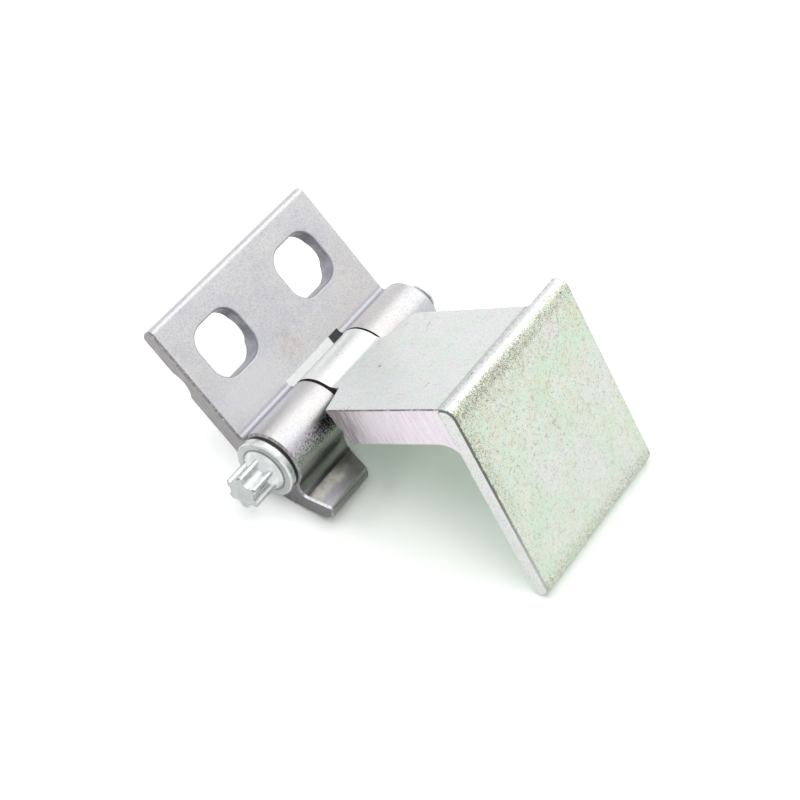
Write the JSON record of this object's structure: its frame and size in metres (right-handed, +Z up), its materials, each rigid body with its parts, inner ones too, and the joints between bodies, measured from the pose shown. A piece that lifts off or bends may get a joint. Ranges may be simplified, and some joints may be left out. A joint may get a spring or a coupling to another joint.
{
  "type": "car door hinge",
  "caption": "Steel car door hinge: a slotted bolt-on leaf and an angled leaf with a flat leg, swinging on a flanged screw pin with a lobed head.",
  "frame": {"origin": "on the floor, under the middle of the hinge's box as it lies half folded", "axes": "+Y along the pin from its head to its thread, +Z up, +X towards the angled leaf's leg"},
  "size_m": [0.1054, 0.0764, 0.044],
  "materials": {
    "slotted_leaf": "satin rolled steel with fine grain",
    "angled_leaf": "zinc plate with pale iridescent passivation",
    "hinge_pin": "bright zinc plate",
    "bush": "black bearing polymer"
  },
  "bodies": {
    "angled": {"angled_leaf": "angled_leaf", "near_bush": "bush", "far_bush": "bush"},
    "slotted": {"slotted_leaf": "slotted_leaf", "hinge_pin": "hinge_pin", "head_washer": "bush"}
  },
  "joints": [
    {"name": "hinge_swing", "type": "hinge", "parent": "angled", "child": "slotted", "pos_m": [-0.01598, 0.0032, 0.0104], "axis": [0, 1, 0], "range_deg": [-32, 94]}
  ]
}
